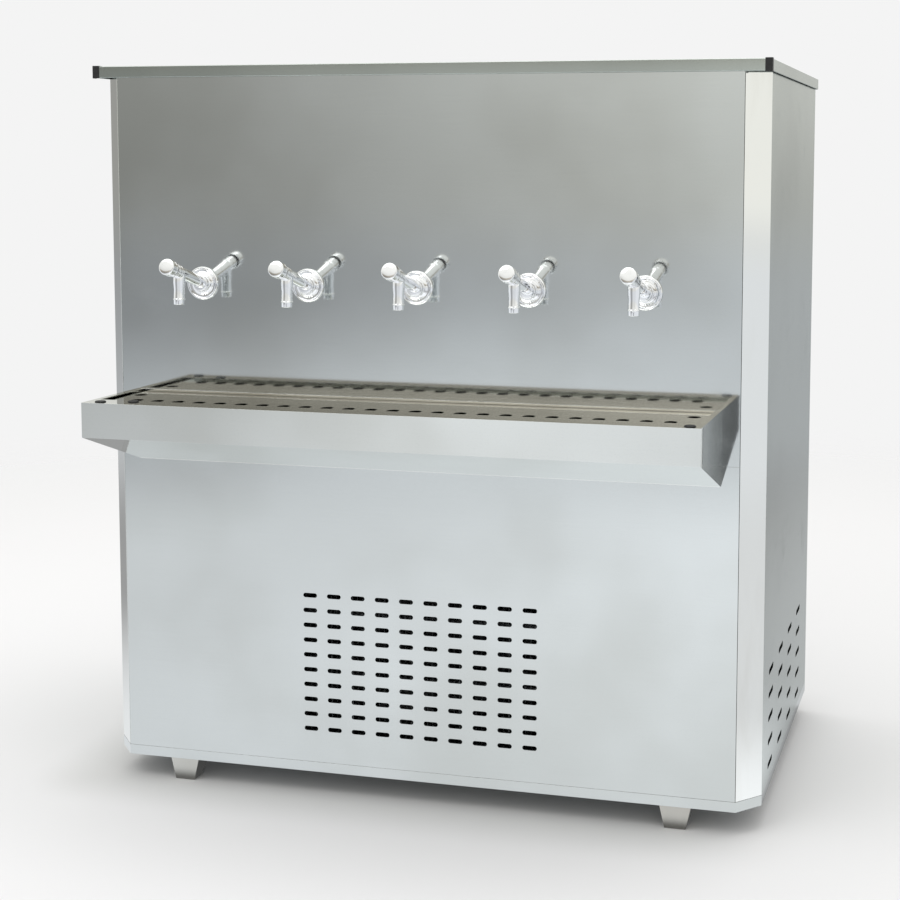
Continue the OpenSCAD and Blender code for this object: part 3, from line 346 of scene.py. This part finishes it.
# one tap, in metres from the middle of its flange; lengths along the barrel start at the panel
tap = {
    "collar": 0.0135, "barrel": 0.0105, "head": 0.0120, "headLength": 0.025,
    "seal": 0.0120, "sealSpare": 0.0015, "sealBack": 0.0014, "sealFront": 0.0004, "sealRibs": 3,
    "cap": 0.0142, "capLength": 0.020, "capEdge": 0.0030, "capWall": 0.0013, "capCrown": 0.005,
    "spout": 0.0092, "spoutAt": 0.094, "spoutWall": 0.0022, "spoutDrop": 0.031, "spoutLean": 3.0,
    "shank": 0.0095, "shankWall": 0.003, "shankLength": 0.026,
    "stem": 0.003, "stemSlack": 0.0001, "stemDepth": 0.022, "stemReach": 0.0225, "travel": 0.005,
}
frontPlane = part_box("front_panel_upper")[0].y
flangeLow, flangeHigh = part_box("tap_flanges")
flangeRadius = (flangeHigh.z - flangeLow.z) / 2
tapHeight = (flangeHigh.z + flangeLow.z) / 2
tapCount = sum(1 for node in nodes if node.startswith("tap_body_"))
pushAxis = Vector(next(j for j in record["behaviour"]["joints"] if j["name"] == "tap_1_push")["axis"])
barrelTilt = math.atan2(-pushAxis.z, pushAxis.y)
# the barrel's whole length, from the panel to the cap's crown
capLow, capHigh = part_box("tap_button_3")
barrelEnd = (frontPlane - capLow.y + tap["cap"] * math.sin(barrelTilt)) / math.cos(barrelTilt)


def tapPlace(number):
    low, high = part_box("tap_body_%d" % number)
    return Matrix.Translation(((low.x + high.x) / 2, frontPlane, tapHeight))


def barrelPlace(number):
    return tapPlace(number) @ Matrix.Rotation(math.radians(90) - barrelTilt, 4, "X")


def makeFlanges():
    r, c = flangeRadius, tap["collar"] + 0.0002
    outline = [(c, 0.0004), (r - 0.0006, 0.0004), (r, 0.001)]
    outline += arc(r - 0.0026, 0.0026, 0.0026, 0, 120)
    outline += [(r - 0.0052, 0.0038), (r - 0.0060, 0.0032), (r - 0.0082, 0.0031)]
    outline += [(r - 0.0092, 0.0036), (r - 0.0102, 0.0048), (r - 0.0118, 0.0056)]
    outline += [(c + 0.0024, 0.0060), (c + 0.0020, 0.0066), (c + 0.0018, 0.0086)]
    outline += arc(c + 0.0009, 0.0088, 0.0009, 0, 90, 4)
    outline += [(c, 0.0097), (c, 0.0004)]
    bm = bmesh.new()
    for number in range(1, tapCount + 1):
        lathe(bm, outline, tapPlace(number) @ Matrix.Rotation(math.radians(90), 4, "X"), 96)
    bmesh.ops.remove_doubles(bm, verts=bm.verts, dist=1e-7)
    bmesh.ops.recalc_face_normals(bm, faces=bm.faces)
    newPiece("tapFlanges", meshFrom(bm, "tapFlanges"), "tap_flanges", 20)


def solid(outline, place):
    bm = bmesh.new()
    lathe(bm, outline, place)
    bmesh.ops.recalc_face_normals(bm, faces=bm.faces)
    obj = bpy.data.objects.new("solid", meshFrom(bm, "solid"))
    bpy.context.scene.collection.objects.link(obj)
    return obj


def combine(base, others):  # others: (operation, object), applied in order
    for operation, other in others:
        cut = base.modifiers.new("join", "BOOLEAN")
        cut.operation = operation
        cut.solver = "EXACT"
        cut.object = other
    mesh = bpy.data.meshes.new_from_object(base.evaluated_get(bpy.context.evaluated_depsgraph_get()))
    for obj in [base] + [other for _, other in others]:
        bpy.data.objects.remove(obj)
    return mesh


def makeTapBody(number):
    t = tap
    bore = t["spout"] - t["spoutWall"]
    headFace = barrelEnd - t["capLength"] - t["travel"] - t["sealSpare"]
    headStart = headFace - t["headLength"]
    stemHole = t["stem"] + t["stemSlack"]
    barrel = [(0, 0.006), (t["barrel"] + 0.0010, 0.006), (t["barrel"] + 0.0006, 0.020), (t["barrel"], 0.034)]
    barrel += [(t["barrel"], headStart), (t["head"] - 0.0006, headStart + 0.0030)]
    barrel += arc(t["head"] - 0.0008, headStart + 0.0044, 0.0008, -40, 0, 4)
    for groove in (headFace - 0.0150, headFace - 0.0060):  # two fine turned grooves round the head
        barrel += [(t["head"], groove - 0.0005), (t["head"] - 0.0005, groove), (t["head"], groove + 0.0005)]
    barrel += arc(t["head"] - 0.0012, headFace - 0.0012, 0.0012, 0, 90)
    barrel += [(0, headFace)]
    stemEnd = headFace - t["stemDepth"]
    bored = [(0, stemEnd), (stemHole, stemEnd), (stemHole, headFace + 0.001), (0, headFace + 0.001)]
    mouth = -t["spoutDrop"]
    spout = [(0, mouth + 0.024), (bore, mouth + 0.024), (bore, mouth + 0.0008)]
    spout += arc(t["spout"] - 0.0008, mouth + 0.0008, 0.0008, -90, 0, 4)
    spout += arc(t["spout"], mouth + 0.0095, 0.0014, -80, 80)  # ring above the mouth
    spout += [(t["spout"], mouth + 0.026), (t["spout"] + 0.0012, mouth + 0.038)]
    spout += [(t["spout"] + 0.0012, 0.022), (0, 0.024)]
    collar = [(0, 0.0006), (t["collar"], 0.0006), (t["collar"], 0.0130)]
    collar += arc(t["collar"] - 0.0012, 0.0130, 0.0012, 0, 90, 4) + [(0, 0.0142)]
    shankBore = t["shank"] - t["shankWall"]
    shank = [(0, -0.001), (t["shank"], -0.001), (t["shank"], t["shankLength"]), (shankBore, t["shankLength"]),
             (shankBore, 0.002), (0, 0.002)]
    forward = tapPlace(number) @ Matrix.Rotation(math.radians(90), 4, "X")
    inward = tapPlace(number) @ Matrix.Rotation(math.radians(-90), 4, "X")
    leaning = tapPlace(number) @ Matrix.Translation((0, -t["spoutAt"], 0))
    leaning = leaning @ Matrix.Rotation(math.radians(-t["spoutLean"]), 4, "X")
    mesh = combine(solid(barrel, barrelPlace(number)), [
        ("UNION", solid(spout, leaning)), ("UNION", solid(collar, forward)), ("UNION", solid(shank, inward)),
        ("DIFFERENCE", solid(bored, barrelPlace(number))),
    ])
    newPiece("tapBody%d" % number, mesh, "tap_body_%d" % number, 32)


def makeTapCap(number):
    t = tap
    top = barrelEnd
    low = top - t["capLength"]
    r, e = t["cap"], t["capEdge"]
    inner, ceiling, stemEnd = r - t["capWall"], top - t["capCrown"], low - t["stemReach"]
    outline = [(0, stemEnd), (t["stem"], stemEnd), (t["stem"], ceiling), (inner, ceiling), (inner, low)]
    outline += arc(r - 0.0005, low + 0.0005, 0.0005, -90, 0, 3)
    outline += [(r, low + 0.0045), (r - 0.0004, low + 0.0050), (r, low + 0.0055)]
    outline += [(r, top - e - 0.0006)] + arc(r - e, top - e - 0.0006, e, 0, 78, 8)
    outline += [((r - e) * 0.7, top - 0.0002), ((r - e) * 0.35, top - 0.00005), (0, top)]
    bm = bmesh.new()
    lathe(bm, outline, barrelPlace(number))
    bmesh.ops.recalc_face_normals(bm, faces=bm.faces)
    newPiece("tapCap%d" % number, meshFrom(bm, "tapCap%d" % number), "tap_button_%d" % number, 35)


def makeSeals():  # a short rubber bellows between each head and its cap
    low = barrelEnd - tap["capLength"] - tap["travel"] - tap["sealBack"]
    high = barrelEnd - tap["capLength"] - tap["sealFront"]
    r, ribs = tap["seal"], tap["sealRibs"]
    outline = [(r - 0.0030, low), (r - 0.0004, low)]
    for k in range(ribs):
        at = low + (high - low) * (k + 0.5) / ribs
        half = (high - low) / ribs / 2
        outline += [(r - 0.0005, at - half * 0.8), (r, at - half * 0.3), (r, at + half * 0.3)]
    outline += [(r - 0.0004, high), (r - 0.0030, high), (r - 0.0030, low)]
    bm = bmesh.new()
    for number in range(1, tapCount + 1):
        lathe(bm, outline, barrelPlace(number), 48)
    bmesh.ops.remove_doubles(bm, verts=bm.verts, dist=1e-7)
    bmesh.ops.recalc_face_normals(bm, faces=bm.faces)
    newPiece("tapSeals", meshFrom(bm, "tapSeals"), "tap_seals", 30)


makeFlanges()
makeSeals()
for tapNumber in range(1, tapCount + 1):
    makeTapBody(tapNumber)
    makeTapCap(tapNumber)
print("taps made:", tapCount)

# the studio: levels are linear, 1 is white
room = {
    "backdrop": 0.905, "sky": 0.95, "skyTop": 1.12, "left": 0.42, "facing": 0.86, "low": 0.22,
    "white": 0.95, "ground": 0.84, "rear": 0.50, "corner": 0.34, "beam": 0.62, "door": 0.85,
    "warm": (1.0, 1.0, 0.955, 1), "cool": (0.97, 1.0, 1.03, 1), "brown": (1.0, 0.93, 0.80, 1),
}
# the paper under the cabinet: its levels, with the grey of a painted shadow round the base, and where each
# change starts and is full, in metres to the right, to the back, outward or away from the cabinet; a third
# number is how much it changes
floorLook = {
    "radius": 6.0, "drop": 0.0005, "paper": 0.80, "shade": 0.66, "paintedGlow": 0.84, "mirrored": 0.75,
    "fade": (2.4, 4.4), "shadeAway": (0.16, 0.0), "shadeRight": (0.75, 0.4),
    "paler": (-1.2, 0.5, 0.32), "behind": (-0.1, 0.7, 0.68), "right": (0.7, 1.3, 0.42),
    "farRight": (0.55, 0.8), "farOut": (-1.8, -2.6, 0.65), "under": (0.0, 0.05, 0.9), "underLeast": 0.1,
}


def makeFloor():
    f = floorLook
    bm = bmesh.new()
    bmesh.ops.create_circle(bm, cap_ends=True, radius=f["radius"], segments=64)
    floor = bpy.data.objects.new("floor", meshFrom(bm, "floor"))
    bpy.context.scene.collection.objects.link(floor)
    floor.location.z = -f["drop"]
    material, g = newMaterial("floorPaper")
    x = g.axis("X")
    y = g.axis("Y")
    low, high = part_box("base_frame")
    aside = abs(x).beyond(high.x)
    along = abs(y - (low.y + high.y) / 2).beyond((high.y - low.y) / 2)
    away = (aside ** 2 + along ** 2) ** 0.5
    # painted shadow: near the base, fading out to the right, the paper is mixed into a darker grey diffuse, a
    # shadow painted on the floor on top of the cast one
    white, grey = f["paper"], f["shade"]
    paper = g.node("ShaderNodeBsdfDiffuse", {}, {"Color": (white, white * 0.995, white * 1.03, 1)})
    shaded = g.node("ShaderNodeBsdfDiffuse", {}, {"Color": (grey, grey, grey * 1.02, 1)})
    paintedShadowMask = away.step(*f["shadeAway"]) * x.step(*f["shadeRight"])
    paper = g.node("ShaderNodeMixShader", {}, {0: paintedShadowMask, 1: paper, 2: shaded})
    # painted reflection: for glossy rays only the floor glows at a set level, which is what the polished
    # sheets see of it: paler to the right, darker behind and far out, and a painted shadow that makes it dark
    # under the cabinet
    level = f["paintedGlow"] + x.ramp(*f["paler"]) - y.ramp(*f["behind"]) - x.ramp(*f["right"])
    level = level - x.step(*f["farRight"]) * y.ramp(*f["farOut"])
    level = level * (away.ramp(*f["under"]) + f["underLeast"])
    paintedGlow = g.node("ShaderNodeEmission", {}, {"Color": room["cool"], "Strength": level})
    mirrored = g.node("ShaderNodeLightPath", output="Is Glossy Ray")
    paper = g.node("ShaderNodeMixShader", {}, {0: mirrored * f["mirrored"], 1: paper, 2: paintedGlow})
    clear = g.node("ShaderNodeBsdfTransparent")
    outward = (x ** 2 + y ** 2) ** 0.5
    blend = g.node("ShaderNodeMixShader", {}, {0: outward.step(*f["fade"]), 1: paper, 2: clear})
    g.node("ShaderNodeOutputMaterial", {}, {"Surface": blend})
    floor.data.materials.append(material)


# where each thing in the room starts and is full, by direction, as sines: x to the right, y to
# the back, z up; a third number is how much it changes the level
bands = {
    "skyTop": (0.15, 0.9), "ahead": (0.3, 0.8), "aheadTop": (0.45, 0.05), "facing": (-0.50, -0.08),
    "lowLeft": (-0.5, -0.33, 0.12), "lowMiddle": (-0.33, -0.1, 0.28),
    "dim": (0.057, -0.008, 0.13), "clear": (-0.073, -0.143),
    "right": (0.55, 0.85), "sideTop": (0.45, 0.2), "whiteWall": (-0.048, -0.018),
    "rear": (0.6, 0.9), "rearTop": (0.35, 0.05), "rearRise": (-0.03, 0.05, 0.16),
    "cornerLeft": (0.5, 0.68), "cornerBack": (0.3, 0.5), "cornerLow": (-0.05, -0.25, 0.36),
    "beamsLow": (0.07, 0.10), "beamsHigh": (0.26, 0.21), "beamSlope": 0.06,
    "beamUnder": (0.1495, 0.1465), "beamOver": (0.1575, 0.1605), "beamFades": (0.1615, 0.1665, 0.4),
    "doorAhead": (0.8, 0.9), "doorLeft": (0.06, 0.10), "doorRight": (0.28, 0.24), "doorTop": (-0.07, -0.10),
    "slitLeft": (0.155, 0.165), "slitRight": (0.19, 0.18), "coolLow": (-0.013, -0.073),
}


def toward(level, target, mask):  # the level where the mask is 0, the target where it is 1
    return level + mask * (target - level)


def makeWorld():
    world = bpy.data.worlds.new("studio")
    bpy.context.scene.world = world
    g = Graph(world)
    b = bands
    x = g.axis("X", "Generated")
    y = g.axis("Y", "Generated")
    z = g.axis("Z", "Generated")
    ahead = (-y).step(*b["ahead"])
    level = toward(room["sky"], room["skyTop"], z.step(*b["skyTop"]))
    # in front, the room is darker to the left, dims just under the horizon and clears below it
    wall = toward(room["left"], room["facing"], x.step(*b["facing"]))
    low = x.ramp(*b["lowLeft"]) - x.ramp(*b["lowMiddle"]) + room["low"]
    wall = wall * (1 - z.ramp(*b["dim"])) + z.step(*b["clear"]) * low
    level = toward(level, wall, ahead * z.step(*b["aheadTop"]))
    # to the right, a white wall over a beige ground
    side = toward(room["ground"], room["white"], z.step(*b["whiteWall"]))
    level = toward(level, side, x.step(*b["right"]) * z.step(*b["sideTop"]))
    # behind, a grey room, darker low down
    rear = room["rear"] + z.ramp(*b["rearRise"])
    level = toward(level, rear, y.step(*b["rear"]) * z.step(*b["rearTop"]))
    # to the left and behind, a wall as dark as the one in front
    corner = room["corner"] + z.ramp(*b["cornerLow"])
    leftRear = (-x).step(*b["cornerLeft"]) * y.step(*b["cornerBack"])
    level = toward(level, corner, leftRear * z.step(*b["sideTop"]))
    # in front, a brown beam above eye level, and a dark doorway low down on the right
    front = ahead * z.step(*b["beamsLow"]) * z.step(*b["beamsHigh"])
    rise = z - x * b["beamSlope"]
    beam = rise.step(*b["beamUnder"]) + rise.step(*b["beamOver"]) - rise.ramp(*b["beamFades"])
    door = (-y).step(*b["doorAhead"]) * x.step(*b["doorLeft"]) * x.step(*b["doorRight"])
    door = door * z.step(*b["doorTop"])
    slit = x.step(*b["slitLeft"]) * x.step(*b["slitRight"])
    level = level * (1 - front * beam * room["beam"]) * (1 - door * (1 - slit) * room["door"])
    tint = g.mix(z.step(*b["coolLow"]), room["warm"], room["cool"])
    tint = g.mix(front, tint, room["brown"])
    glow = g.node("ShaderNodeBackground", {}, {"Color": tint, "Strength": level})
    back = room["backdrop"]
    seen = g.node("ShaderNodeBackground", {}, {"Color": (back, back, back, 1), "Strength": 1.0})
    camera = g.node("ShaderNodeLightPath", output="Is Camera Ray")
    both = g.node("ShaderNodeMixShader", {}, {0: camera, 1: glow, 2: seen})
    g.node("ShaderNodeOutputWorld", {}, {"Surface": both})


# softboxes: where each hangs and its size, in metres, and its power in watts
softboxes = {
    "keyBox": {"place": (-1.4, -2.2, 3.3), "size": (2.4, 1.6), "power": 20},
    "topBox": {"place": (0.3, 0.3, 3.6), "size": (2.6, 2.0), "power": 27},
}
lightAim = Vector((0, 0, 0.5))


def hangSoftbox(name):
    box = softboxes[name]
    light = bpy.data.lights.new(name, "AREA")
    light.shape = "RECTANGLE"
    light.size, light.size_y = box["size"]
    light.energy = box["power"]
    obj = bpy.data.objects.new(name, light)
    bpy.context.scene.collection.objects.link(obj)
    obj.location = box["place"]
    obj.rotation_euler = (lightAim - Vector(box["place"])).to_track_quat("-Z", "Y").to_euler()


# place is from the front panel's plane, in metres; angles in degrees; lens and sensor in
# millimetres; shift in picture widths
viewer = {
    "place": (0.9645, -2.8168, 1.1298), "yaw": 14.821, "pitch": 5.552, "roll": -0.164,
    "lens": 69.28, "sensor": 36.0, "shift": (-0.10, -0.131),
}


def makeCamera():
    data = bpy.data.cameras.new("viewer")
    data.sensor_width = viewer["sensor"]
    data.lens = viewer["lens"]
    data.shift_x, data.shift_y = viewer["shift"]
    obj = bpy.data.objects.new("viewer", data)
    bpy.context.scene.collection.objects.link(obj)
    obj.location = Vector(viewer["place"]) + Vector((0, frontPlane, 0))
    turn = Matrix.Rotation(math.radians(viewer["yaw"]), 4, "Z")
    tip = Matrix.Rotation(math.radians(90 - viewer["pitch"]), 4, "X")
    lean = Matrix.Rotation(math.radians(-viewer["roll"]), 4, "Z")
    obj.rotation_euler = (turn @ tip @ lean).to_euler()
    bpy.context.scene.camera = obj


makeFloor()
makeWorld()
for boxName in softboxes:
    hangSoftbox(boxName)
makeCamera()
bpy.context.scene.view_settings.view_transform = "Standard"
print("room, lights and camera set")
